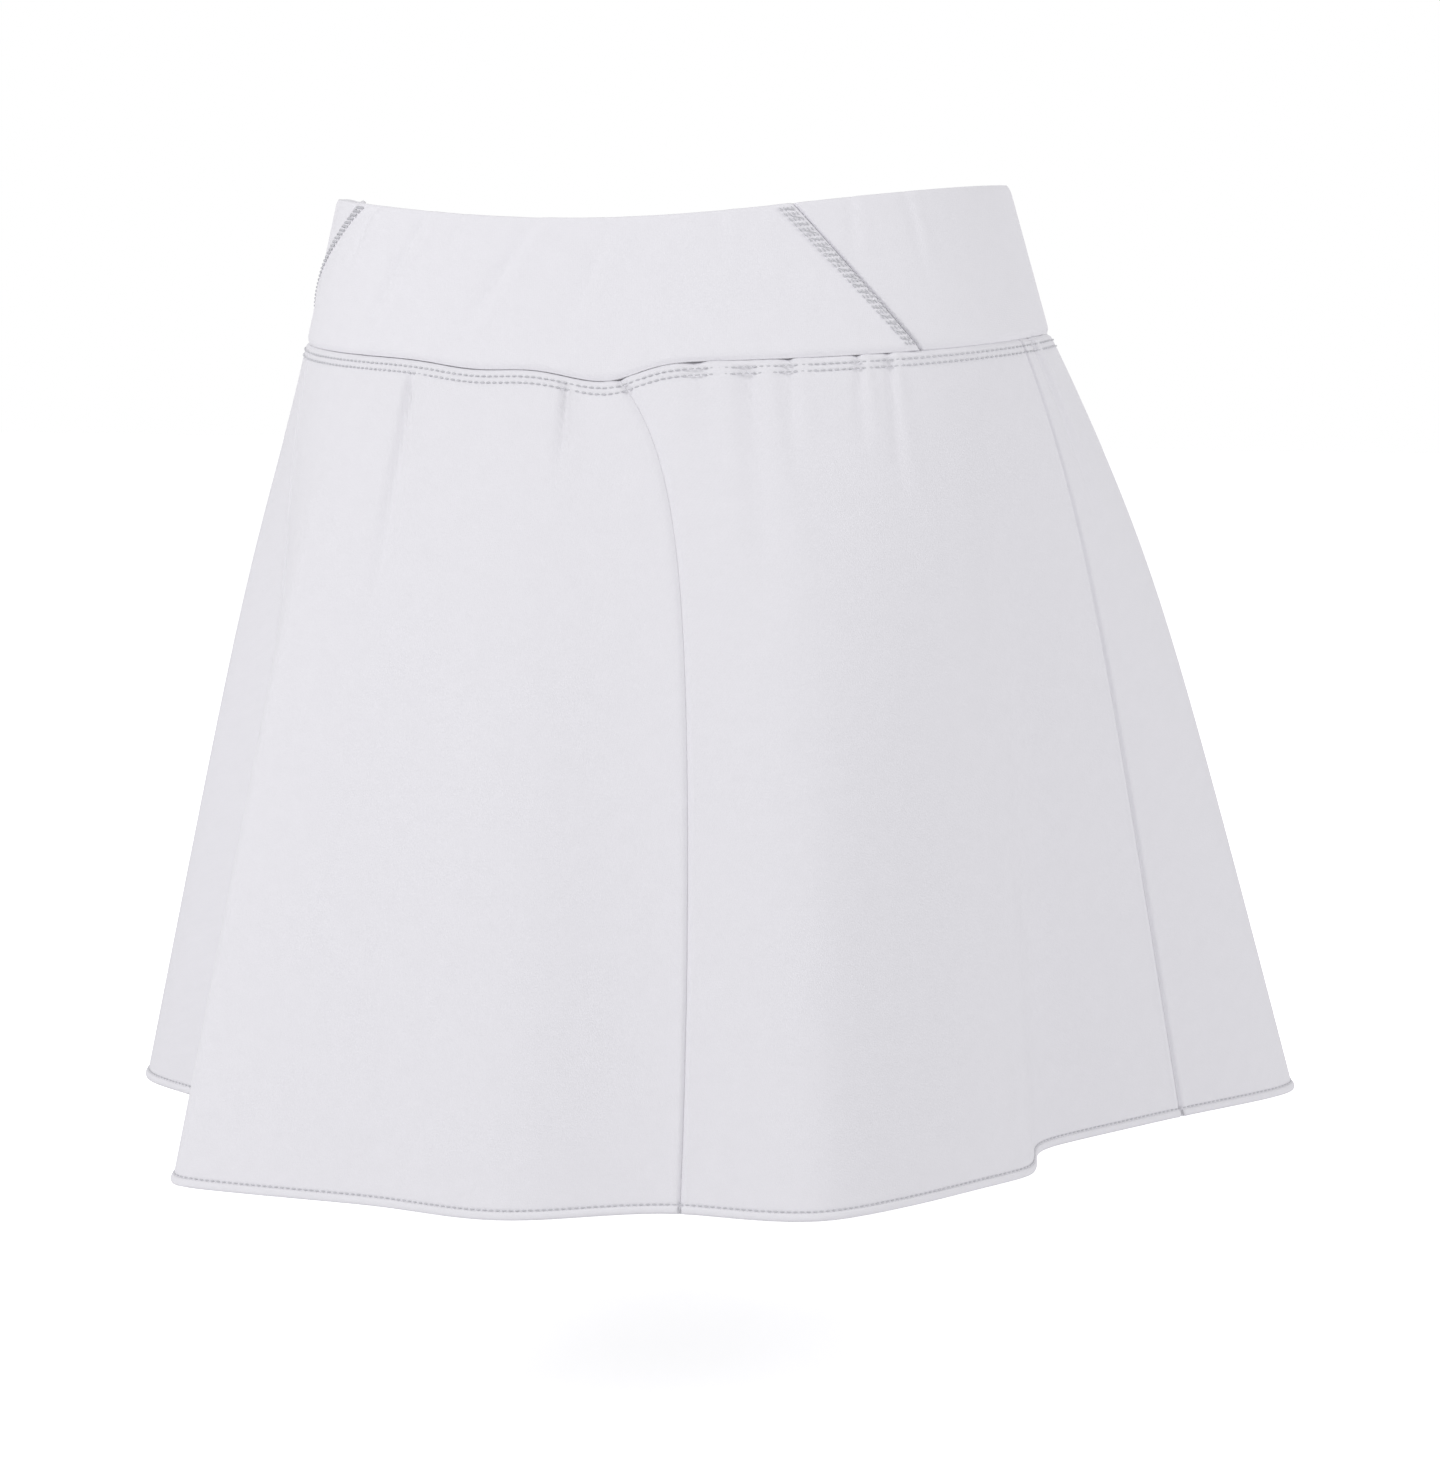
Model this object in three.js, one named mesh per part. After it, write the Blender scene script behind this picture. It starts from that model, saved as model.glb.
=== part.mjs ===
// Tennis skort: a deep elastic-knit waistband with two slanting seams, a flared skirt of three panels
// that falls in soft flutes, and plain inner shorts. Millimetres, +Z up, the back of the garment faces -Y.
// The origin is the middle of the waist opening, where the wearer's waist carries the garment.
import * as THREE from "three";

// ---- Driving dimensions ----
const waistRing = { halfWidth: 135, halfDepth: 96, x: -4.5, y: 2 };
const seamRing = { halfWidth: 149.5, halfDepth: 106, x: -2.5, y: 0 };
const ringFullness = 0.03; // how far both rings fill out between front, back and sides
const hemLevel = -366;
const seamGap = 0.3;
const wall = { band: 2.4, skirt: 1.5, shorts: 1.2 };

// The hip gives the skirt its quick flare under the band, and the flutes open below it.
const hipReach = 0.17;
const fluteOnset = { reach: 0.16, power: 1.5 };
const hipSmoothing = 38; // extra rounding that turns the fluted hem into the plain flare of the hip
const bandSmoothing = 13; // rounding of the spread of cloth along the band seam

// One row for each crest, valley or seam round the hem, anticlockwise seen from above: the angle on the
// band seam that its line starts from (0 is the middle of the back, 90 the +X side), where it meets the
// hem, how softly the cloth bends there, and the share of its flare that comes at the hip.
const flutes = [
  { name: "back_left_crest", angle: -47, x: -155, y: -180, soft: 6, hip: 0.13 },
  { name: "back_left_flat", angle: -33, x: -84, y: -188, soft: 10, hip: 0.17 },
  { name: "back_left_dip", angle: -28, x: -66, y: -188, soft: 9, hip: 0.19 },
  { name: "back_middle_crest", angle: -14, x: -16, y: -208, soft: 14, hip: 0.2 },
  { name: "back_seam_dip", angle: -5, x: 22, y: -179, soft: 10, hip: 0.2 },
  { name: "centre_seam", angle: -1, x: 44, y: -171, soft: 7, hip: 0.2 },
  { name: "back_right_ridge", angle: 14, x: 70, y: -178, soft: 10, hip: 0.2 },
  { name: "back_right_corner", angle: 27, x: 98, y: -176, soft: 8, hip: 0.2 },
  { name: "back_right_hollow", angle: 40, x: 128, y: -137, soft: 10, hip: 0.2 },
  { name: "back_right_ridge_in", angle: 47, x: 146, y: -106, soft: 9, hip: 0.2 },
  { name: "back_right_crest", angle: 56, x: 161, y: -84, soft: 5, hip: 0.2 },
  { name: "right_valley", angle: 63, x: 152, y: -46, soft: 7, hip: 0.22 },
  { name: "right_side_seam", angle: 73.6, x: 201, y: 27, soft: 5, hip: 0.25 },
  { name: "right_crest", angle: 93, x: 251, y: 92, soft: 12, hip: 0.28 },
  { name: "front_right_dip", angle: 110, x: 204, y: 124, soft: 14, hip: 0.27 },
  { name: "front_right_crest", angle: 128, x: 178, y: 178, soft: 13, hip: 0.23 },
  { name: "front_right_hollow", angle: 146, x: 113, y: 146, soft: 13, hip: 0.2 },
  { name: "front_crest_a", angle: 160, x: 65, y: 192, soft: 13, hip: 0.2 },
  { name: "front_middle_dip", angle: 180, x: 5, y: 152, soft: 15, hip: 0.2 },
  { name: "front_crest_b", angle: 200, x: -54, y: 197, soft: 12, hip: 0.2 },
  { name: "front_left_hollow", angle: 216, x: -106, y: 147, soft: 14, hip: 0.2 },
  { name: "front_left_crest", angle: 232, x: -168, y: 176, soft: 13, hip: 0.2 },
  { name: "left_front_dip", angle: 248, x: -180, y: 108, soft: 13, hip: 0.2 },
  { name: "left_side_crest", angle: 266, x: -238, y: 46, soft: 12, hip: 0.2 },
  { name: "left_crest", angle: 279, x: -235, y: -10, soft: 9, hip: 0.18 },
  { name: "left_side_seam", angle: 294, x: -158, y: -62, soft: 7, hip: 0.15 },
];

// The band's slanting seams, by the angle where each meets the top edge and the band seam.
const slantingSeams = {
  left: { top: -54, bottom: -92 },
  right: { top: 30, bottom: 49 },
};

// The centre seam bows to the right below the band, then hangs straight.
const centreSeamBow = { reach: 17, onset: 0.1 };

// Inner shorts: rows from the band seam to the crotch, then down the leg.
const shorts = {
  inset: 1.95, // from the band's outer face to the shorts' outer face
  topDrop: 0.9, // from the band seam to the shorts' top edge, clear of the band's inner edge
  hipHalfWidth: 152,
  hipHalfDepth: 111,
  crotchLevel: -238,
  hemLevel: -300,
  crotchHalfWidth: 156,
  crotchHalfDepth: 88,
  hemHalfWidth: 157,
  hemHalfDepth: 84,
  legGap: 2.5,
  crotchCurve: 3,
};

const grid = {
  bandRows: 2,
  bandStep: 6,
  skirtRows: 8,
  skirtStep: 9,
  rowCrowding: 1.35, // brings the skirt's rows closer together towards the band
  shortsColumns: 22,
  shortsRows: 7,
  legRows: 2,
};

const normalStep = 0.004; // share of a panel's height used to find how its surface faces

const cloth = { color: 0xe7e6eb, roughness: 0.85, metalness: 0 };

// ---- Small helpers ----
const radians = THREE.MathUtils.degToRad;
const mix = THREE.MathUtils.lerp;
const bell = (distance, width) => Math.exp(-((distance / width) ** 2));
const wrapAngle = (angle) => THREE.MathUtils.euclideanModulo(angle + 180, 360) - 180;

// ---- The rings of the waist opening and the band seam ----
function ringPoint(ring, angle) {
  const s = Math.sin(radians(angle));
  const c = Math.cos(radians(angle));
  return {
    x: ring.x + ring.halfWidth * s * (1 + ringFullness * c * c),
    y: ring.y - ring.halfDepth * c * (1 + ringFullness * s * s),
  };
}

// The top edge rides a little higher at the sides and dips at the middle of the back and the front.
function waistLevel(angle) {
  const s = Math.sin(radians(angle));
  const c = Math.cos(radians(angle));
  const backDip = 9.5 * Math.max(c, 0) ** 3;
  const frontDip = 14 * Math.max(-c, 0) ** 1.15;
  const rightLift = 0.8 * bell(wrapAngle(angle) - 32, 24);
  return 3 + 2.7 * s - backDip - frontDip + rightLift;
}

// The band seam dips the same way, and is drawn down into a small point at the centre seam.
function seamLevel(angle) {
  const turned = wrapAngle(angle);
  const s = Math.sin(radians(turned));
  const c = Math.cos(radians(turned));
  const backDip = 6.5 * Math.max(c, 0) ** 1.3;
  const frontDip = 5 * Math.max(-c, 0) ** 1.3;
  const point = 7 * bell(turned, turned < 0 ? 9 : 6.5) + 3 * bell(turned + 19, 9);
  return -53.5 + 2 * s - backDip - frontDip - point;
}

function bandPoint(angle, down) {
  const top = ringPoint(waistRing, angle);
  const bottom = ringPoint(seamRing, angle);
  const level = mix(waistLevel(angle), seamLevel(angle), down);
  return new THREE.Vector3(mix(top.x, bottom.x, down), mix(top.y, bottom.y, down), level);
}

// ---- The skirt: straight lines of cloth from the band seam to the hem, softly kinked at each flute ----
const spans = flutes.map((flute, i) => {
  const next = flutes[(i + 1) % flutes.length];
  return Math.hypot(next.x - flute.x, next.y - flute.y);
});
const stations = spans.map((_, i) => spans.slice(0, i).reduce((sum, span) => sum + span, 0));
const hemLength = spans.reduce((sum, span) => sum + span, 0);
const stationOf = (name) => stations[flutes.findIndex((flute) => flute.name === name)];

// The value of one column of the flute table at a place along the hem, with each kink rounded.
function alongHem(place, column, rise, softness) {
  const values = flutes.map((flute) => flute[column]);
  const slopes = spans.map((span, i) => {
    const next = i + 1 < values.length ? values[i + 1] : values[0] + rise;
    return (next - values[i]) / span;
  });
  const turns = Math.floor(place / hemLength);
  const local = place - turns * hemLength;
  let row = stations.length - 1;
  while (stations[row] > local) row -= 1;
  let value = values[row] + slopes[row] * (local - stations[row]) + turns * rise;
  flutes.forEach((flute, i) => {
    const kink = slopes[i] - slopes[(i + slopes.length - 1) % slopes.length];
    const away = THREE.MathUtils.euclideanModulo(local - stations[i] + hemLength / 2, hemLength);
    const soft = softness(flute);
    value += kink * soft * Math.log1p(Math.exp(-Math.abs(away - hemLength / 2) / soft));
  });
  return value;
}

const hipShare = (down, share) => {
  const bulge = (d) => (1 - share) * d + share * (1 - Math.exp(-d / hipReach));
  return bulge(down) / bulge(1);
};

const fluteShare = (down) => {
  const open = (d) => d * (1 - Math.exp(-((d / fluteOnset.reach) ** fluteOnset.power)));
  return open(down) / open(1);
};

// What one line of cloth needs at every height, so that it is worked out once for each column.
function skirtLine(place) {
  const angle = alongHem(place, "angle", 360, () => bandSmoothing);
  return {
    start: ringPoint(seamRing, angle),
    startLevel: seamLevel(angle) - seamGap,
    hip: alongHem(place, "hip", 0, () => bandSmoothing),
    hem: {
      x: alongHem(place, "x", 0, (flute) => flute.soft),
      y: alongHem(place, "y", 0, (flute) => flute.soft),
    },
    flare: {
      x: alongHem(place, "x", 0, (flute) => flute.soft + hipSmoothing),
      y: alongHem(place, "y", 0, (flute) => flute.soft + hipSmoothing),
    },
  };
}

function skirtPoint(place, down) {
  const line = skirtLine(place);
  const flare = hipShare(down, line.hip);
  const flute = fluteShare(down);
  const across = (axis) =>
    mix(line.start[axis], line.flare[axis], flare) + (line.hem[axis] - line.flare[axis]) * flute;
  return new THREE.Vector3(across("x"), across("y"), mix(line.startLevel, hemLevel, down));
}

const skirtSeams = {
  left: () => stationOf("left_side_seam") - hemLength,
  centre: (down) => {
    const bow = (1 - Math.exp(-down / centreSeamBow.onset)) * (1 - down * down);
    return stationOf("centre_seam") + centreSeamBow.reach * bow;
  },
  right: () => stationOf("right_side_seam"),
};

// ---- The inner shorts, one leg: an open half round the hips that closes into a tube at the crotch ----
function shortsPoint(side, across, down) {
  const hips = Math.min(down, 1);
  const leg = Math.max(down - 1, 0);
  const bulge = Math.sin(Math.PI * hips) ** 2;
  const size = (top, hip, crotch, hem) =>
    mix(top, crotch, hips) + (hip - (top + crotch) / 2) * bulge + (hem - crotch) * leg;
  const topWidth = seamRing.halfWidth - shorts.inset;
  const topDepth = seamRing.halfDepth - shorts.inset;
  const width = size(topWidth, shorts.hipHalfWidth, shorts.crotchHalfWidth, shorts.hemHalfWidth);
  const depth = size(topDepth, shorts.hipHalfDepth, shorts.crotchHalfDepth, shorts.hemHalfDepth);
  const open = (1 - hips ** shorts.crotchCurve) ** (1 / shorts.crotchCurve);
  const closed = Math.sqrt(1 - open * open);
  const inner = seamGap / 2 + shorts.legGap * leg;
  const reach = (width - inner * closed) / (1 + closed);
  const middle = width - reach;
  const limit = Math.acos(THREE.MathUtils.clamp((inner - middle) / reach, -1, 1));
  const turn = mix(-limit, limit, across);
  const c = Math.cos(turn);
  const s = Math.sin(turn);
  const full = ringFullness * (1 - closed);
  const x = seamRing.x + side * (middle + reach * (c + full * Math.max(c, 0) * s * s));
  const y = depth * s * (1 + full * c * c);
  const angle = side * (90 + THREE.MathUtils.radToDeg(turn));
  const halfColumn = 90 / grid.shortsColumns;
  const nearby = [-halfColumn, 0, halfColumn].map((shift) => seamLevel(angle + shift));
  const topLevel = Math.min(...nearby) - shorts.topDrop;
  const level = mix(topLevel, shorts.crotchLevel, hips) + (shorts.hemLevel - shorts.crotchLevel) * leg;
  return new THREE.Vector3(x, y, level);
}

// ---- A wall of cloth: its outer face on a surface, its inner face one thickness in ----
// The surface gives a point for a place along the cloth and a share of the way down it.
function outwardNormal(surface, place, down, placeStep) {
  const along = surface(place + placeStep, down).sub(surface(place - placeStep, down));
  const above = surface(place, Math.max(down - normalStep, 0));
  const below = surface(place, down + normalStep);
  return below.sub(above).cross(along).normalize();
}

// Rows of places share their last column with the first from the row where the cloth closes to a tube.
function clothWall(surface, rows, placeStep, thickness, closedFrom = Infinity) {
  const last = rows[0].places.length - 1;
  const end = rows.length - 1;
  const isClosed = (j) => j >= closedFrom;
  const positions = [];
  const layer = (depth) =>
    rows.map((row, j) => {
      const ids = [];
      row.places.forEach((place, i) => {
        if (isClosed(j) && i === last) {
          ids.push(ids[0]);
          return;
        }
        const inward = outwardNormal(surface, place, row.down, placeStep).multiplyScalar(-depth);
        ids.push(positions.length / 3);
        positions.push(...surface(place, row.down).add(inward).toArray());
      });
      return ids;
    });
  const outer = layer(0);
  const inner = layer(thickness);
  const faces = [];
  const quad = (a, b, c, d) => faces.push(a, b, c, a, c, d);
  for (let j = 0; j < end; j += 1) {
    for (let i = 0; i < last; i += 1) {
      quad(outer[j][i], outer[j + 1][i], outer[j + 1][i + 1], outer[j][i + 1]);
      quad(inner[j][i], inner[j][i + 1], inner[j + 1][i + 1], inner[j + 1][i]);
    }
    if (!isClosed(j)) {
      quad(outer[j][0], inner[j][0], inner[j + 1][0], outer[j + 1][0]);
      quad(outer[j][last], outer[j + 1][last], inner[j + 1][last], inner[j][last]);
    }
  }
  for (let i = 0; i < last; i += 1) {
    quad(outer[0][i], outer[0][i + 1], inner[0][i + 1], inner[0][i]);
    quad(outer[end][i], inner[end][i], inner[end][i + 1], outer[end][i + 1]);
  }
  const geometry = new THREE.BufferGeometry();
  geometry.setAttribute("position", new THREE.Float32BufferAttribute(positions, 3));
  geometry.setIndex(faces);
  geometry.computeVertexNormals();
  return geometry;
}

// A panel's rows of places, from its left edge to its right edge at each height.
function panelRows(leftEdge, rightEdge, rowCount, step, crowding = 1) {
  const columns = Math.ceil(Math.abs(rightEdge(1) - leftEdge(1)) / step);
  return Array.from({ length: rowCount + 1 }, (_, j) => {
    const down = (j / rowCount) ** crowding;
    const left = leftEdge(down);
    const right = rightEdge(down);
    return { down, places: Array.from({ length: columns + 1 }, (_, i) => mix(left, right, i / columns)) };
  });
}

function clothMesh(name, geometry) {
  const mesh = new THREE.Mesh(geometry, new THREE.MeshStandardMaterial(cloth));
  mesh.name = name;
  return mesh;
}

// ---- The pieces ----
function bandPanel(name, fromSeam, toSeam, turn) {
  const halfGap = THREE.MathUtils.radToDeg((seamGap * 0.75) / seamRing.halfDepth);
  const left = (down) => mix(fromSeam.top, fromSeam.bottom, down) + halfGap;
  const right = (down) => mix(toSeam.top, toSeam.bottom, down) + turn - halfGap;
  const step = THREE.MathUtils.radToDeg(grid.bandStep / seamRing.halfWidth);
  const rows = panelRows(left, right, grid.bandRows, step);
  return clothMesh(name, clothWall(bandPoint, rows, step / 10, wall.band));
}

function skirtPanel(name, fromSeam, toSeam, turn) {
  const halfGap = seamGap * 0.75;
  const left = (down) => fromSeam(down) + halfGap;
  const right = (down) => toSeam(down) + turn - halfGap;
  const rows = panelRows(left, right, grid.skirtRows, grid.skirtStep, grid.rowCrowding);
  return clothMesh(name, clothWall(skirtPoint, rows, grid.skirtStep / 10, wall.skirt));
}

function shortsLeg(name, side) {
  const hipRows = Array.from({ length: grid.shortsRows + 1 }, (_, j) => {
    return Math.sin((Math.PI / 2) * (j / grid.shortsRows));
  });
  const legRows = Array.from({ length: grid.legRows }, (_, j) => 1 + (j + 1) / grid.legRows);
  const columns = grid.shortsColumns;
  const rows = [...hipRows, ...legRows].map((down) => {
    return { down, places: Array.from({ length: columns + 1 }, (_, i) => i / columns) };
  });
  const surface = (place, down) => shortsPoint(side, side > 0 ? place : 1 - place, down);
  return clothMesh(name, clothWall(surface, rows, 0.1 / columns, wall.shorts, grid.shortsRows));
}

const waistband = new THREE.Group();
waistband.add(bandPanel("waistband_back", slantingSeams.left, slantingSeams.right, 0));
waistband.add(bandPanel("waistband_front", slantingSeams.right, slantingSeams.left, 360));

const skirt = new THREE.Group();
skirt.add(skirtPanel("skirt_back_left", skirtSeams.left, skirtSeams.centre, 0));
skirt.add(skirtPanel("skirt_back_right", skirtSeams.centre, skirtSeams.right, 0));
skirt.add(skirtPanel("skirt_front", skirtSeams.right, skirtSeams.left, hemLength));

const innerShorts = new THREE.Group();
innerShorts.add(shortsLeg("shorts_left", -1));
innerShorts.add(shortsLeg("shorts_right", 1));

const skort = new THREE.Group();
skort.add(waistband, skirt, innerShorts);

export default skort;
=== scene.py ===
import math

import bpy
import numpy as np
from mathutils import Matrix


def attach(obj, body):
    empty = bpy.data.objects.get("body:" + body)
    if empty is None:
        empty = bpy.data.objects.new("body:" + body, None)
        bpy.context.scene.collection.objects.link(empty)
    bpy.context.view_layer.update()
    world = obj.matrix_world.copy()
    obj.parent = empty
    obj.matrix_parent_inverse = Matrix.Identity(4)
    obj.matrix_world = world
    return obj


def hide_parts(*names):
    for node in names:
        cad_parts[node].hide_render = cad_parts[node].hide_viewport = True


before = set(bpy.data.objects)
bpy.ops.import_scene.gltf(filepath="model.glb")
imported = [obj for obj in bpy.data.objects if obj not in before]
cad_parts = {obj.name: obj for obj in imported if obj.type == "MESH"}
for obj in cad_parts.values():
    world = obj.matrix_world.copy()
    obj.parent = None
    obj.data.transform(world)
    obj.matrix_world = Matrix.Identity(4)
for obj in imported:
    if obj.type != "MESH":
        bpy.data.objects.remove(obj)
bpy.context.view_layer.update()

MM = 0.001

# ---- Sizes, in millimetres and degrees ----
WAIST = dict(half_width=135.0, half_depth=96.0, x=-4.5, y=2.0)
SEAM = dict(half_width=149.5, half_depth=106.0, x=-2.5, y=0.0)
RING_FULLNESS = 0.03
HEM_LEVEL = -366.0
HIP_REACH = 0.17
ONSET_REACH = 0.16
ONSET_POWER = 1.5
HIP_SMOOTHING = 38.0
BAND_SMOOTHING = 13.0
BAND_WALL = 2.4
SKIRT_WALL = 1.3
SHORTS_WALL = 1.1
BAND_DEPTH = 56.0
BAND_PER_DEGREE = 2.35  # length along the band for each degree round it
SKIRT_HEIGHT = 312.0
ROLL_MIDDLE = 1.5  # the rolled hem's middle above the edge, and its half height
ROLL_REACH = 1.6
CENTRE_SEAM_BOW = 17.0
CENTRE_SEAM_ONSET = 0.1

# Inner shorts: half widths and half depths at the hip, crotch and leg hem, and the levels of the last two.
SHORTS = dict(
    inset=2.6,
    hip=(151.5, 110.5),
    crotch=(156, 88),
    hem=(157, 84),
    crotch_level=-238,
    hem_level=-300,
    leg_gap=2.5,
    top_drop=0.4,
    hem_stitch_height=12,
)

# Each crest, valley or seam round the hem: its angle on the band seam, its place at the hem, how softly
# the cloth bends there, and the share of its flare that comes at the hip.
FLUTES = [
    ("back_left_crest", -47, -155, -180, 6, 0.13),
    ("back_left_flat", -33, -84, -188, 10, 0.17),
    ("back_left_dip", -28, -66, -188, 9, 0.19),
    ("back_middle_crest", -14, -16, -208, 14, 0.2),
    ("back_seam_dip", -5, 22, -179, 10, 0.2),
    ("centre_seam", -1, 44, -171, 7, 0.2),
    ("back_right_ridge", 14, 70, -178, 10, 0.2),
    ("back_right_corner", 27, 98, -176, 8, 0.2),
    ("back_right_hollow", 40, 128, -137, 10, 0.2),
    ("back_right_ridge_in", 47, 146, -106, 9, 0.2),
    ("back_right_crest", 56, 161, -84, 5, 0.2),
    ("right_valley", 63, 152, -46, 7, 0.22),
    ("right_side_seam", 73.6, 201, 27, 5, 0.25),
    ("right_crest", 93, 251, 92, 12, 0.28),
    ("front_right_dip", 110, 204, 124, 14, 0.27),
    ("front_right_crest", 128, 178, 178, 13, 0.23),
    ("front_right_hollow", 146, 113, 146, 13, 0.2),
    ("front_crest_a", 160, 65, 192, 13, 0.2),
    ("front_middle_dip", 180, 5, 152, 15, 0.2),
    ("front_crest_b", 200, -54, 197, 12, 0.2),
    ("front_left_hollow", 216, -106, 147, 14, 0.2),
    ("front_left_crest", 232, -168, 176, 13, 0.2),
    ("left_front_dip", 248, -180, 108, 13, 0.2),
    ("left_side_crest", 266, -238, 46, 12, 0.2),
    ("left_crest", 279, -235, -10, 9, 0.18),
    ("left_side_seam", 294, -158, -62, 7, 0.15),
]
NAMES = [row[0] for row in FLUTES]
ANGLE, HEM_X, HEM_Y, SOFT, HIP = (np.array([row[k] for row in FLUTES], float) for k in range(1, 6))
SPANS = np.hypot(np.roll(HEM_X, -1) - HEM_X, np.roll(HEM_Y, -1) - HEM_Y)
STATIONS = np.concatenate([[0.0], np.cumsum(SPANS)[:-1]])
HEM_LENGTH = SPANS.sum()

# The band's slanting seams: their angles at the top edge and at the band seam.
SLANT_LEFT = (-54.0, -92.0)
SLANT_RIGHT = (30.0, 49.0)

# Threads, in millimetres.
COVER_DROPS = (2.7, 5.1)  # the two needle rows below the band seam
FLATLOCK_SHIFTS = (1.3, 2.9, 4.5, 6.1)  # the four needle rows beside a slanting seam
FLATLOCK_WIDTH = 7.2
FLATLOCK_TURN = 0.026  # share of a slanting seam's length for each turn of its looper thread
HEM_ROW = 3.5
HEM_WRAP_STEP = 1.5

# Slack wrinkles on the band: the angle and share of the depth of the middle, half length, half width,
# lean and depth.
BAND_WRINKLES = [
    (-50, 0.18, 12, 1.6, 0.55, 0.5),
    (-38, 0.40, 30, 2.0, 0.55, 0.8),
    (-26, 0.10, 10, 1.6, 0.4, 0.45),
    (-17, 0.38, 30, 2.2, 0.6, 0.75),
    (-4, 0.50, 28, 2.0, 0.45, 0.5),
    (18, 0.12, 14, 1.5, 0.1, 0.35),
    (40, 0.15, 14, 1.6, 0.1, 0.35),
    (52, 0.2, 16, 1.5, -0.1, 0.3),
    (120, 0.35, 24, 2.2, -0.4, 0.5),
    (168, 0.3, 22, 2.0, 0.4, 0.6),
    (205, 0.45, 26, 2.2, 0.5, 0.55),
    (240, 0.3, 20, 2.0, -0.3, 0.45),
]

# Small folds that fall from the band seam: the flute they start by and how far past it, the shares of the
# height where they start and end, half width at both ends, lean and depth.
SKIRT_FOLDS = [
    ("back_left_flat", 4, 0.03, 0.34, 3.0, 7.0, -14, 1.1),
    ("back_seam_dip", -6, 0.02, 0.16, 2.0, 4.0, -14, 0.8),
    ("centre_seam", 26, 0.0, 0.22, 3.0, 5.0, 4, 0.7),
    ("back_right_ridge", 16, 0.02, 0.30, 3.0, 7.0, 2, 0.9),
    ("back_right_corner", 4, 0.0, 0.14, 2.4, 4.0, 0, 0.6),
    ("back_right_hollow", -8, 0.0, 0.12, 2.4, 4.0, 0, 0.6),
    ("back_right_hollow", 14, 0.0, 0.18, 2.4, 5.0, 0, 0.5),
    ("right_side_seam", 22, 0.0, 0.25, 3.0, 6.0, 4, 0.8),
    ("front_right_dip", 10, 0.0, 0.2, 3.0, 6.0, 3, 0.7),
    ("front_right_hollow", -10, 0.0, 0.3, 3.0, 7.0, -4, 0.9),
    ("front_middle_dip", 14, 0.0, 0.24, 3.0, 6.0, 2, 0.8),
    ("front_left_hollow", 12, 0.0, 0.28, 3.0, 6.0, -3, 0.8),
    ("left_front_dip", -8, 0.0, 0.2, 3.0, 5.0, 0, 0.6),
]


# ---- The form ----
def bell(distance, width):
    return np.exp(-((distance / width) ** 2))


def ring_point(ring, angle):
    s, c = np.sin(np.radians(angle)), np.cos(np.radians(angle))
    x = ring["x"] + ring["half_width"] * s * (1 + RING_FULLNESS * c * c)
    y = ring["y"] - ring["half_depth"] * c * (1 + RING_FULLNESS * s * s)
    return x, y


def wrap(angle):
    return (np.asarray(angle, float) + 180) % 360 - 180


def waist_level(angle):
    s, c = np.sin(np.radians(angle)), np.cos(np.radians(angle))
    dips = 9.5 * np.maximum(c, 0) ** 3 + 14 * np.maximum(-c, 0) ** 1.15
    return 3 + 2.7 * s - dips + 0.8 * bell(wrap(angle) - 32, 24)


def seam_level(angle):
    turned = wrap(angle)
    s, c = np.sin(np.radians(turned)), np.cos(np.radians(turned))
    dips = 6.5 * np.maximum(c, 0) ** 1.3 + 5 * np.maximum(-c, 0) ** 1.3
    point = 7 * bell(turned, np.where(turned < 0, 9, 6.5)) + 3 * bell(turned + 19, 9)
    return -53.5 + 2 * s - dips - point


def band_form(angle, down):
    top_x, top_y = ring_point(WAIST, angle)
    low_x, low_y = ring_point(SEAM, angle)
    level = waist_level(angle) * (1 - down) + seam_level(angle) * down
    return np.stack([top_x + (low_x - top_x) * down, top_y + (low_y - top_y) * down, level], -1)


def along_hem(place, values, rise, soft):
    place = np.asarray(place, float)
    slopes = (np.append(values[1:], values[0] + rise) - values) / SPANS
    turns = np.floor(place / HEM_LENGTH)
    local = place - turns * HEM_LENGTH
    ends = np.append(STATIONS, HEM_LENGTH)
    total = np.interp(local, ends, np.append(values, values[0] + rise)) + turns * rise
    soft = np.broadcast_to(soft, values.shape)
    for i in range(len(values)):
        away = np.abs((local - STATIONS[i] + HEM_LENGTH / 2) % HEM_LENGTH - HEM_LENGTH / 2)
        total = total + (slopes[i] - slopes[i - 1]) * soft[i] * np.log1p(np.exp(-away / soft[i]))
    return total


def skirt_form(place, down):
    angle = along_hem(place, ANGLE, 360, BAND_SMOOTHING)
    share = along_hem(place, HIP, 0, BAND_SMOOTHING)
    start_x, start_y = ring_point(SEAM, angle)
    level = seam_level(angle)
    flare = (1 - share) * down + share * (1 - np.exp(-down / HIP_REACH))
    flare = flare / ((1 - share) + share * (1 - np.exp(-1 / HIP_REACH)))
    flute = down * (1 - np.exp(-((down / ONSET_REACH) ** ONSET_POWER)))
    flute = flute / (1 - np.exp(-((1 / ONSET_REACH) ** ONSET_POWER)))
    out = []
    for values, start in ((HEM_X, start_x), (HEM_Y, start_y)):
        hem = along_hem(place, values, 0, SOFT)
        wide = along_hem(place, values, 0, SOFT + HIP_SMOOTHING)
        out.append(start + (wide - start) * flare + (hem - wide) * flute)
    return np.stack([out[0], out[1], level + (HEM_LEVEL - level) * down], -1)


def station(name):
    return STATIONS[NAMES.index(name)]


def centre_seam(down):
    bow = (1 - np.exp(-down / CENTRE_SEAM_ONSET)) * (1 - down * down)
    return station("centre_seam") + CENTRE_SEAM_BOW * bow


def right_seam(down):
    return station("right_side_seam") + 0 * down


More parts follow.
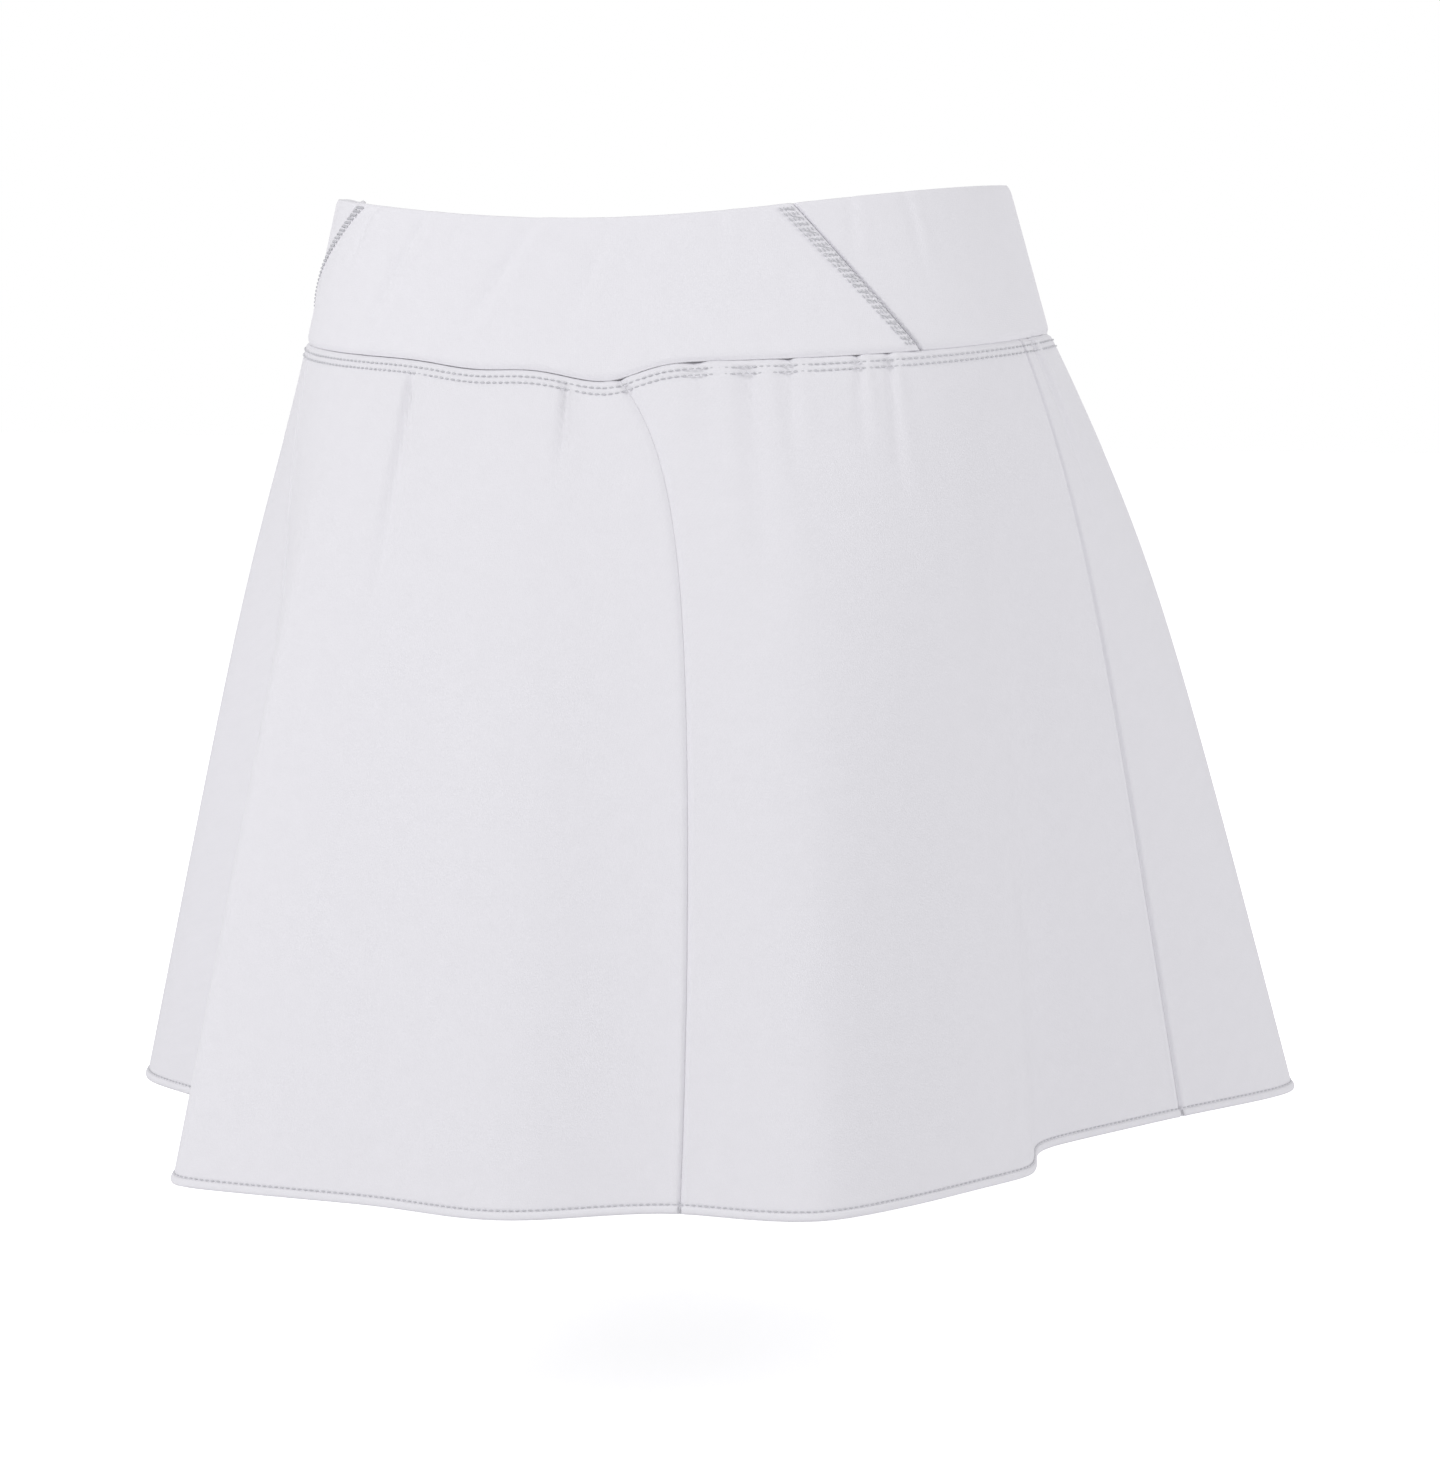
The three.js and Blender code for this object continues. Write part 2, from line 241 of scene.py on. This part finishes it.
def left_seam(down):
    return station("left_side_seam") - HEM_LENGTH + 0 * down


def shorts_form(side, turned, down):
    hips, leg = np.minimum(down, 1), np.maximum(down - 1, 0)
    bulge = np.sin(np.pi * hips) ** 2

    def size(top, hip, crotch, hem):
        return top + (crotch - top) * hips + (hip - (top + crotch) / 2) * bulge + (hem - crotch) * leg

    widths, depths = zip(SHORTS["hip"], SHORTS["crotch"], SHORTS["hem"])
    width = size(SEAM["half_width"] - SHORTS["inset"], *widths)
    depth = size(SEAM["half_depth"] - SHORTS["inset"], *depths)
    opened = np.maximum(1 - hips**3, 0) ** (1 / 3)
    closed = np.sqrt(np.maximum(1 - opened**2, 0))
    inner = 0.05 + SHORTS["leg_gap"] * leg
    reach = (width - inner * closed) / (1 + closed)
    middle = width - reach
    limit = np.arccos(np.clip((inner - middle) / reach, -1, 1))
    turn = -limit + 2 * limit * turned
    c, s = np.cos(turn), np.sin(turn)
    full = RING_FULLNESS * (1 - closed)
    x = SEAM["x"] + side * (middle + reach * (c + full * np.maximum(c, 0) * s * s))
    y = depth * s * (1 + full * c * c)
    top = seam_level(side * (90 + np.degrees(turn))) - SHORTS["top_drop"]
    leg_length = SHORTS["crotch_level"] - SHORTS["hem_level"]
    level = top + (SHORTS["crotch_level"] - top) * hips - leg_length * leg
    return np.stack([x, y, level], -1)


# ---- Cloth as a thin shell ----
def normals_of(points):
    along = np.gradient(points, axis=1)
    fall = np.gradient(points, axis=0)
    n = np.cross(fall, along)
    return n / np.maximum(np.linalg.norm(n, axis=-1, keepdims=True), 1e-9)


def shell(name, outer, normals, wall, uv, material):
    """A closed shell: its outer face through the grid of points, its inner face one wall in."""
    rows, columns = outer.shape[:2]
    wall = np.broadcast_to(np.asarray(wall, float), (rows, columns))[..., None]
    inner = outer - normals * wall
    verts = np.concatenate([outer.reshape(-1, 3), inner.reshape(-1, 3)]) * MM
    ids = np.arange(rows * columns).reshape(rows, columns)
    low = ids + rows * columns
    quads = [
        np.stack([ids[:-1, :-1], ids[1:, :-1], ids[1:, 1:], ids[:-1, 1:]], -1).reshape(-1, 4),
        np.stack([low[:-1, :-1], low[:-1, 1:], low[1:, 1:], low[1:, :-1]], -1).reshape(-1, 4),
        np.stack([ids[0, :-1], ids[0, 1:], low[0, 1:], low[0, :-1]], -1),
        np.stack([ids[-1, :-1], low[-1, :-1], low[-1, 1:], ids[-1, 1:]], -1),
        np.stack([ids[:-1, 0], low[:-1, 0], low[1:, 0], ids[1:, 0]], -1),
        np.stack([ids[:-1, -1], ids[1:, -1], low[1:, -1], low[:-1, -1]], -1),
    ]
    faces = np.concatenate(quads)
    mesh = bpy.data.meshes.new(name)
    mesh.from_pydata(verts.tolist(), [], faces.tolist())
    mesh.shade_smooth()
    layer = mesh.uv_layers.new(name="cloth")
    both = np.concatenate([uv.reshape(-1, 2), uv.reshape(-1, 2)])
    loops = np.zeros(len(mesh.loops), np.int32)
    mesh.loops.foreach_get("vertex_index", loops)
    layer.data.foreach_set("uv", both[loops].ravel().astype(np.float32))
    mesh.validate()
    piece = bpy.data.objects.new(name, mesh)
    bpy.context.scene.collection.objects.link(piece)
    mesh.materials.append(material)
    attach(piece, "root")
    return piece


EDGE_RAMP = [0, 0.35, 0.7, 1.1, 1.6, 2.3, 3.2, 4.4]  # places of the grid lines beside a sewn edge


def spaced(length, step):
    """Shares of a width of that length: close together near both ends, then one step apart."""
    ramp = EDGE_RAMP
    middle = np.linspace(ramp[-1], length - ramp[-1], max(int((length - 2 * ramp[-1]) / step), 2) + 1)
    return np.concatenate([ramp[:-1], middle, length - np.array(ramp[:-1])[::-1]]) / length


def thread_row(path, normals, stitch, gap, radius, sink=0.35):
    """Short raised stitches along a path of points, as (vertices, faces)."""
    steps = np.linalg.norm(np.diff(path, axis=0), axis=1)
    run = np.concatenate([[0], np.cumsum(steps)])
    count = int(run[-1] / (stitch + gap))
    starts = (np.arange(count) + 0.5) * run[-1] / max(count, 1) - stitch / 2

    def at(values, where):
        return np.stack([np.interp(where, run, values[:, k]) for k in range(3)], -1)

    sides, rings = 6, ((0.0, 0.35), (0.18, 0.9), (0.5, 1.08), (0.82, 0.9), (1.0, 0.35))
    verts, faces = [], []
    for i in range(count):
        a, b = at(path, starts[i]), at(path, starts[i] + stitch)
        n = at(normals, starts[i] + stitch / 2)
        n = n / np.linalg.norm(n)
        d = b - a
        d = d / np.linalg.norm(d)
        w = np.cross(d, n)
        base = len(verts)
        for share, size in rings:
            mid = a + (b - a) * share + n * radius * (math.sin(math.pi * share) * 0.9 - sink)
            for k in range(sides):
                t = 2 * math.pi * k / sides
                verts.append(mid + (w * math.cos(t) + n * math.sin(t)) * radius * size)
        for j in range(len(rings) - 1):
            for k in range(sides):
                p, q = base + j * sides + k, base + j * sides + (k + 1) % sides
                faces.append((p, q, q + sides, p + sides))
        faces.append(tuple(base + k for k in range(sides))[::-1])
        faces.append(tuple(base + (len(rings) - 1) * sides + k for k in range(sides)))
    return verts, faces


def thread_piece(name, rows, material):
    verts, faces = [], []
    for row_verts, row_faces in rows:
        shift = len(verts)
        verts += [tuple(v * MM) for v in row_verts]
        faces += [tuple(i + shift for i in face) for face in row_faces]
    mesh = bpy.data.meshes.new(name)
    mesh.from_pydata(verts, [], faces)
    mesh.shade_smooth()
    piece = bpy.data.objects.new(name, mesh)
    bpy.context.scene.collection.objects.link(piece)
    mesh.materials.append(material)
    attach(piece, "root")
    return piece


# ---- Materials ----
def knit(name, colour, pitch, relief, roughness=0.82):
    """Fine knit: columns of small loops on the cloth's own coordinates, with a faint unevenness."""
    material = bpy.data.materials.new(name)
    material.use_nodes = True
    nodes, links = material.node_tree.nodes, material.node_tree.links
    shader = nodes["Principled BSDF"]
    shader.inputs["Roughness"].default_value = roughness
    shader.inputs["Specular IOR Level"].default_value = 0.25
    shader.inputs["Sheen Weight"].default_value = 0.12
    shader.inputs["Sheen Roughness"].default_value = 0.5
    place = nodes.new("ShaderNodeUVMap")
    place.uv_map = "cloth"
    scaled = nodes.new("ShaderNodeMapping")
    scaled.inputs["Scale"].default_value = (1 / pitch, 1 / (pitch * 0.8), 1)
    links.new(place.outputs["UV"], scaled.inputs["Vector"])
    loops = nodes.new("ShaderNodeTexVoronoi")
    loops.inputs["Scale"].default_value = 1.0
    loops.inputs["Randomness"].default_value = 0.35
    links.new(scaled.outputs["Vector"], loops.inputs["Vector"])
    noise = nodes.new("ShaderNodeTexNoise")
    noise.inputs["Scale"].default_value = 0.12
    noise.inputs["Detail"].default_value = 4.0
    links.new(place.outputs["UV"], noise.inputs["Vector"])
    tint = nodes.new("ShaderNodeMix")
    tint.data_type = "RGBA"
    tint.inputs["A"].default_value = (*[c * 0.955 for c in colour], 1)
    tint.inputs["B"].default_value = (*[min(c * 1.02, 1) for c in colour], 1)
    blend = nodes.new("ShaderNodeMath")
    blend.operation = "MULTIPLY_ADD"
    blend.inputs[1].default_value = 0.5
    links.new(noise.outputs["Fac"], blend.inputs[0])
    cell = nodes.new("ShaderNodeMath")
    cell.operation = "MULTIPLY"
    cell.inputs[1].default_value = 0.55
    links.new(loops.outputs["Distance"], cell.inputs[0])
    links.new(cell.outputs["Value"], blend.inputs[2])
    links.new(blend.outputs["Value"], tint.inputs["Factor"])
    links.new(tint.outputs["Result"], shader.inputs["Base Color"])
    bump = nodes.new("ShaderNodeBump")
    bump.inputs["Strength"].default_value = relief
    bump.inputs["Distance"].default_value = 0.0002
    bump.invert = True
    links.new(loops.outputs["Distance"], bump.inputs["Height"])
    links.new(bump.outputs["Normal"], shader.inputs["Normal"])
    return material


WHITE = (0.785, 0.775, 0.815)
skirt_cloth = knit("skirt_knit", WHITE, 0.7, 0.35)
band_cloth = knit("band_knit", (0.80, 0.79, 0.83), 0.8, 0.3)
shorts_cloth = knit("shorts_knit", (0.74, 0.73, 0.76), 0.7, 0.4)
# The stitches are greyer than the white cloth: painted shade, standing for the shade in the stitch rows
# and along the rolled hem's lower edge.
thread_with_painted_shade = knit("thread_with_painted_shade", (0.60, 0.60, 0.63), 0.3, 0.2, 0.6)


# ---- The waistband ----
def band_relief(angle, down):
    """Slack wrinkles slanting across the band's middle, each with its own place, length and depth."""
    relief = 0 * angle
    for where, height, half_length, half_width, lean, depth in BAND_WRINKLES:
        along = wrap(angle - where) * BAND_PER_DEGREE
        fall = (down - height) * BAND_DEPTH
        x = along + lean * fall
        y = fall - lean * along * 0.3
        relief = relief - 1.7 * depth * bell(x, half_width * 1.5) * bell(y, half_length)
        relief = relief + depth * 1.1 * bell(x - half_width * 2.6, half_width * 2) * bell(y, half_length)
    return relief


def band_panel(name, left, right, turn):
    rows = spaced(BAND_DEPTH, 1.6)
    angle_span = abs(right[0] + turn - left[0])
    columns = spaced(angle_span * BAND_PER_DEGREE, 1.9)
    down = rows[:, None] + 0 * columns[None, :]
    lo = left[0] + (left[1] - left[0]) * down
    hi = right[0] + (right[1] - right[0]) * down + turn
    angle = lo + (hi - lo) * columns[None, :]
    points = band_form(angle, down)
    normals = normals_of(points)
    to_left, to_right = (angle - lo) * BAND_PER_DEGREE, (hi - angle) * BAND_PER_DEGREE
    edge = np.minimum(to_left, to_right)
    depth = down * BAND_DEPTH
    rise = 0.5 * (1 - np.exp(-depth / 0.9)) - 0.9 * bell(BAND_DEPTH - depth, 1.3)
    ditch = -1.1 * bell(edge, 0.8)
    flat = 0
    if turn == 0:
        for away in (to_right, to_left):
            inside = np.clip((FLATLOCK_WIDTH - away) / 0.8, 0, 1)
            flat = flat + 0.5 * inside * np.clip(away / 0.6, 0, 1)
    points = points + normals * (band_relief(angle, down) + rise + ditch + flat - 0.35)[..., None]
    uv = np.stack([angle * BAND_PER_DEGREE, depth], -1)
    return shell(name, points, normals_of(points), BAND_WALL, uv, band_cloth)


def sewn_path(form, places, downs, lift):
    points = form(places, downs)
    e = 0.35
    along = form(places + e, downs) - form(places - e, downs)
    fall = form(places, downs + 0.004) - form(places, downs - 0.004)
    n = np.cross(fall, along)
    n = n / np.linalg.norm(n, axis=-1, keepdims=True)
    return points + n * lift, n


# ---- The skirt ----
def skirt_relief(place, down):
    """Small folds between the flutes: drag lines from the band seam, and soft creases lower down."""
    relief = 0 * place
    for flute, past, start, end, narrow, wide, lean, depth in SKIRT_FOLDS:
        share = np.clip((down - start) / (end - start), 0, 1)
        width = narrow + (wide - narrow) * share
        where = station(flute) + past
        away = (place - where - lean * share + HEM_LENGTH / 2) % HEM_LENGTH - HEM_LENGTH / 2
        fade = np.clip((down - start) / 0.02 + 1, 0, 1) * (1 - share) ** 0.7
        relief = relief - 2.2 * depth * bell(away, width) * fade
        relief = relief + 1.2 * depth * bell(away - 2.2 * width, 1.4 * width) * fade
    return relief


# Places of the grid lines below the band seam and above the hem's edge.
TOP_ROWS = [0, 0.4, 0.8, 1.3, 1.9, 2.4, 2.9, 3.5, 4.1, 4.7, 5.2, 5.7, 6.4, 7.4, 9.0, 11.0]
HEM_ROWS = [0, 0.2, 0.5, 0.9, 1.4, 1.9, 2.4, 2.8, 3.1, 3.4, 3.8, 4.4, 5.4, 7.0]


def skirt_rows():
    top = np.array(TOP_ROWS)
    low = SKIRT_HEIGHT - np.array(HEM_ROWS)[::-1]
    middle = np.linspace(top[-1], low[0], 84)
    return np.concatenate([top[:-1], middle, low[1:]]) / SKIRT_HEIGHT


def skirt_panel(name, left, right, turn):
    rows = skirt_rows()
    hem = float(right(np.array(1.0)) + turn - left(np.array(1.0)))
    columns = spaced(hem, 2.6)
    down = rows[:, None] + 0 * columns[None, :]
    lo, hi = left(down), right(down) + turn
    place = lo + (hi - lo) * columns[None, :]
    points = skirt_form(place, down)
    normals = normals_of(points)
    squeeze = 0.5 + 0.5 * down
    edge = np.minimum(place - lo, hi - place) * squeeze
    from_top, from_hem = down * SKIRT_HEIGHT, (1 - down) * SKIRT_HEIGHT
    tuck = -1.0 * bell(edge, 0.9) + 0.25 * bell(edge - 2.2, 1.0)
    seam = -0.9 * bell(from_top, 0.9)
    for drop in COVER_DROPS:
        seam = seam - 0.22 * bell(from_top - drop, 0.5)
    pucker = 0.1 * np.sin(place * 2 * np.pi / 5.2) * bell(from_top - 4, 4)
    rolled = np.sqrt(np.clip(1 - ((from_hem - ROLL_MIDDLE) / ROLL_REACH) ** 2, 0, 1))
    groove = -0.3 * bell(from_hem - 3.45, 0.35)
    relief = skirt_relief(place, down) + tuck + seam + pucker + 0.95 * rolled + groove
    points = points + normals * relief[..., None]
    wall = SKIRT_WALL + 1.8 * rolled
    uv = np.stack([place * squeeze, from_top], -1)
    return shell(name, points, normals_of(points), wall, uv, skirt_cloth)


# ---- The inner shorts ----
def shorts_leg(name, side):
    hip_rows = np.sin(np.pi / 2 * np.linspace(0, 1, 46))
    down = np.concatenate([hip_rows[:-1], [0.9999], np.linspace(1.03, 1.98, 26), [1.99, 2.0]])[:, None]
    turned = np.linspace(0, 1, 150)[None, :]
    if side < 0:
        turned = 1 - turned
    down, turned = np.broadcast_arrays(down, turned)
    points = shorts_form(side, turned, down)
    normals = normals_of(points)
    leg_length = SHORTS["crotch_level"] - SHORTS["hem_level"]
    hem = -0.25 * bell((2 - down) * leg_length - SHORTS["hem_stitch_height"], 0.7)
    points = points + normals * hem[..., None]
    uv = np.stack([turned * 420, down * 150], -1)
    return shell(name, points, normals, SHORTS_WALL, uv, shorts_cloth)


waistband_back = band_panel("waistband_back_cloth", SLANT_LEFT, SLANT_RIGHT, 0)
waistband_front = band_panel("waistband_front_cloth", SLANT_RIGHT, SLANT_LEFT, 360)
skirt_back_left = skirt_panel("skirt_back_left_cloth", left_seam, centre_seam, 0)
skirt_back_right = skirt_panel("skirt_back_right_cloth", centre_seam, right_seam, 0)
skirt_front = skirt_panel("skirt_front_cloth", right_seam, left_seam, HEM_LENGTH)
shorts_left = shorts_leg("shorts_left_cloth", -1)
shorts_right = shorts_leg("shorts_right_cloth", 1)

# ---- Stitches ----
round_hem = np.linspace(0, HEM_LENGTH, 1200)
rows = []
for drop in COVER_DROPS:
    seam_path = sewn_path(skirt_form, round_hem, 0 * round_hem + drop / SKIRT_HEIGHT, 0.05)
    rows.append(thread_row(*seam_path, 1.9, 0.7, 0.33))
seam_stitches = thread_piece("band_seam_stitches", rows, thread_with_painted_shade)

rows = []
across = np.linspace(0, 1, 200)
for top, bottom, side in ((*SLANT_LEFT, 1), (*SLANT_RIGHT, -1)):
    for shift in FLATLOCK_SHIFTS:
        places = top + (bottom - top) * across + side * shift / BAND_PER_DEGREE
        rows.append(thread_row(*sewn_path(band_form, places, across * 0.95 + 0.02, 0.78), 1.8, 0.8, 0.28))
for top, bottom, side in ((*SLANT_LEFT, 1), (*SLANT_RIGHT, -1)):
    turns = np.arange(0.03, 0.97, FLATLOCK_TURN)
    swing = np.where(np.arange(len(turns)) % 2, FLATLOCK_SHIFTS[0], FLATLOCK_SHIFTS[-1])
    weave = top + (bottom - top) * turns + side * swing / BAND_PER_DEGREE
    zigzag, facing = sewn_path(band_form, weave, turns, 0.7)
    for k in range(len(turns) - 1):
        rows.append(thread_row(zigzag[k : k + 2], facing[k : k + 2], 4.6, 0.1, 0.22))
flatlock_stitches = thread_piece("flatlock_stitches", rows, thread_with_painted_shade)

hem_path = sewn_path(skirt_form, round_hem, 1 - HEM_ROW / SKIRT_HEIGHT + 0 * round_hem, -0.05)
rows = [thread_row(*hem_path, 1.7, 0.7, 0.27)]
# The wraps over the rolled hem take the stitches' grey: painted shade for the hem's darker lower edge.
wraps = np.arange(0, HEM_LENGTH, HEM_WRAP_STEP)
over, facing = sewn_path(skirt_form, wraps, 1 - 3.1 / SKIRT_HEIGHT + 0 * wraps, 0.35)
under, _ = sewn_path(skirt_form, wraps + 0.5, 1 - 0.15 / SKIRT_HEIGHT + 0 * wraps, 0.25)
for k in range(len(wraps)):
    path = np.stack([over[k], (over[k] + under[k]) / 2 + facing[k] * 0.62, under[k]])
    rows.append(thread_row(path, np.repeat(facing[k : k + 1], 3, 0), 3.0, 0.05, 0.3, 0.35))
hem_stitches = thread_piece("hem_stitches", rows, thread_with_painted_shade)

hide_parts("waistband_back")
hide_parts("waistband_front")
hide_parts("skirt_back_left")
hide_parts("skirt_back_right")
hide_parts("skirt_front")
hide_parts("shorts_left")
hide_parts("shorts_right")

# ---- Stage ----
AZIMUTH = math.radians(14)
PITCH = math.radians(7.583)
CAMERA_DISTANCE = 1.6
CAMERA_SHIFT = 0.0156  # how far the camera stands to the right of the garment's axis
FLOOR_LEVEL = -0.47
FLOOR_REACH = 6
right = np.array([math.cos(AZIMUTH), math.sin(AZIMUTH), 0])
toward = np.array([math.sin(AZIMUTH), -math.cos(AZIMUTH), 0])

camera_data = bpy.data.cameras.new("camera")
camera_data.lens = 98.32
camera_data.sensor_width = 36
camera = bpy.data.objects.new("camera", camera_data)
camera.location = toward * CAMERA_DISTANCE + right * CAMERA_SHIFT
camera.rotation_euler = (math.pi / 2 - PITCH, 0, AZIMUTH)
bpy.context.scene.collection.objects.link(camera)
bpy.context.scene.camera = camera


def lamp(name, size, power, along_right, along_up, along_toward):
    data = bpy.data.lights.new(name, "AREA")
    data.size = size
    data.energy = power
    piece = bpy.data.objects.new(name, data)
    centre = np.array([0, 0, -0.18])
    where = centre + right * along_right + np.array([0, 0, along_up]) + toward * along_toward
    piece.location = where
    aim = centre - where
    tilt = math.acos(-aim[2] / np.linalg.norm(aim))
    piece.rotation_euler = (tilt, 0, math.atan2(aim[1], aim[0]) - math.pi / 2)
    bpy.context.scene.collection.objects.link(piece)


lamp("key", 1.1, 24, -1.7, 1.3, 1.3)
lamp("fill", 1.6, 14, 1.9, 0.7, 1.1)
lamp("back", 1.8, 10, 0.2, 1.4, -1.9)

world = bpy.data.worlds.new("studio")
bpy.context.scene.world = world
world.use_nodes = True
wn, wl = world.node_tree.nodes, world.node_tree.links
path = wn.new("ShaderNodeLightPath")
seen = wn.new("ShaderNodeMath")
seen.operation = "MAXIMUM"
wl.new(path.outputs["Is Camera Ray"], seen.inputs[0])
wl.new(path.outputs["Is Glossy Ray"], seen.inputs[1])
strength = wn.new("ShaderNodeMapRange")
strength.inputs["To Min"].default_value = 0.56
strength.inputs["To Max"].default_value = 1.0
wl.new(seen.outputs["Value"], strength.inputs["Value"])
wl.new(strength.outputs["Result"], wn["Background"].inputs["Strength"])
wn["Background"].inputs["Color"].default_value = (1, 1, 1, 1)

floor_mesh = bpy.data.meshes.new("floor")
corners = [(-FLOOR_REACH, -FLOOR_REACH), (FLOOR_REACH, -FLOOR_REACH), (FLOOR_REACH, FLOOR_REACH)]
corners.append((-FLOOR_REACH, FLOOR_REACH))
floor_mesh.from_pydata([(x, y, FLOOR_LEVEL) for x, y in corners], [], [(0, 1, 2, 3)])
floor = bpy.data.objects.new("floor", floor_mesh)
bpy.context.scene.collection.objects.link(floor)
ground = bpy.data.materials.new("floor")
ground.use_nodes = True
gn, gl = ground.node_tree.nodes, ground.node_tree.links
gs = gn["Principled BSDF"]
gs.inputs["Base Color"].default_value = (0.86, 0.86, 0.87, 1)
gs.inputs["Roughness"].default_value = 0.9
glow = gn.new("ShaderNodeEmission")
gpath = gn.new("ShaderNodeLightPath")
gscale = gn.new("ShaderNodeMath")
gscale.operation = "MULTIPLY"
gscale.inputs[1].default_value = 0.62
gl.new(gpath.outputs["Is Camera Ray"], gscale.inputs[0])
gl.new(gscale.outputs["Value"], glow.inputs["Strength"])
both = gn.new("ShaderNodeAddShader")
gl.new(gs.outputs["BSDF"], both.inputs[0])
gl.new(glow.outputs["Emission"], both.inputs[1])
gl.new(both.outputs["Shader"], gn["Material Output"].inputs["Surface"])
floor_mesh.materials.append(ground)

bpy.context.scene.view_settings.view_transform = "Standard"
